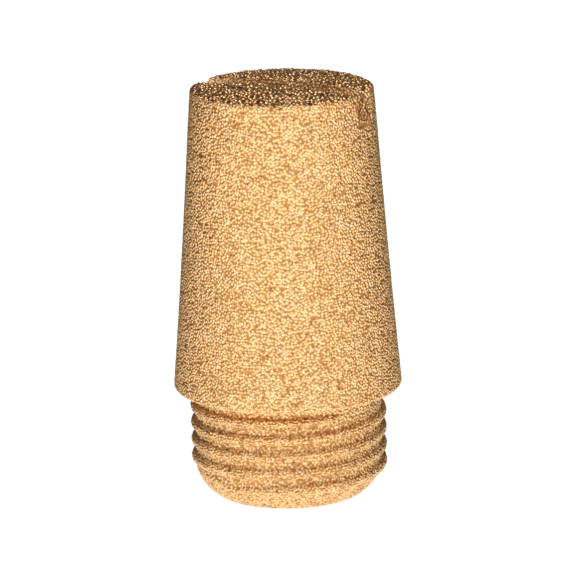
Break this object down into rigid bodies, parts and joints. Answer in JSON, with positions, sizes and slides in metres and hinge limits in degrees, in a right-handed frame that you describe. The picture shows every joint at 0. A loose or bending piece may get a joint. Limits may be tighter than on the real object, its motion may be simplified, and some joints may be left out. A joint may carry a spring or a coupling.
{
  "type": "pneumatic muffler",
  "caption": "Tapered sintered-bronze exhaust muffler in one piece, with a rounded pipe thread, a flat shoulder, a blind bore and a screwdriver slot across the top.",
  "frame": {"origin": "centre of the end face of the threaded end, on the axis", "axes": "+Z along the axis, from the threaded end to the slotted top; the slot runs 27.5 degrees clockwise from +X, seen from above"},
  "size_m": [0.024, 0.024, 0.0438],
  "materials": {
    "sintered_bronze": "open granular sintered surface, satin"
  },
  "bodies": {
    "root": {"muffler_body": "sintered_bronze"}
  },
  "joints": []
}
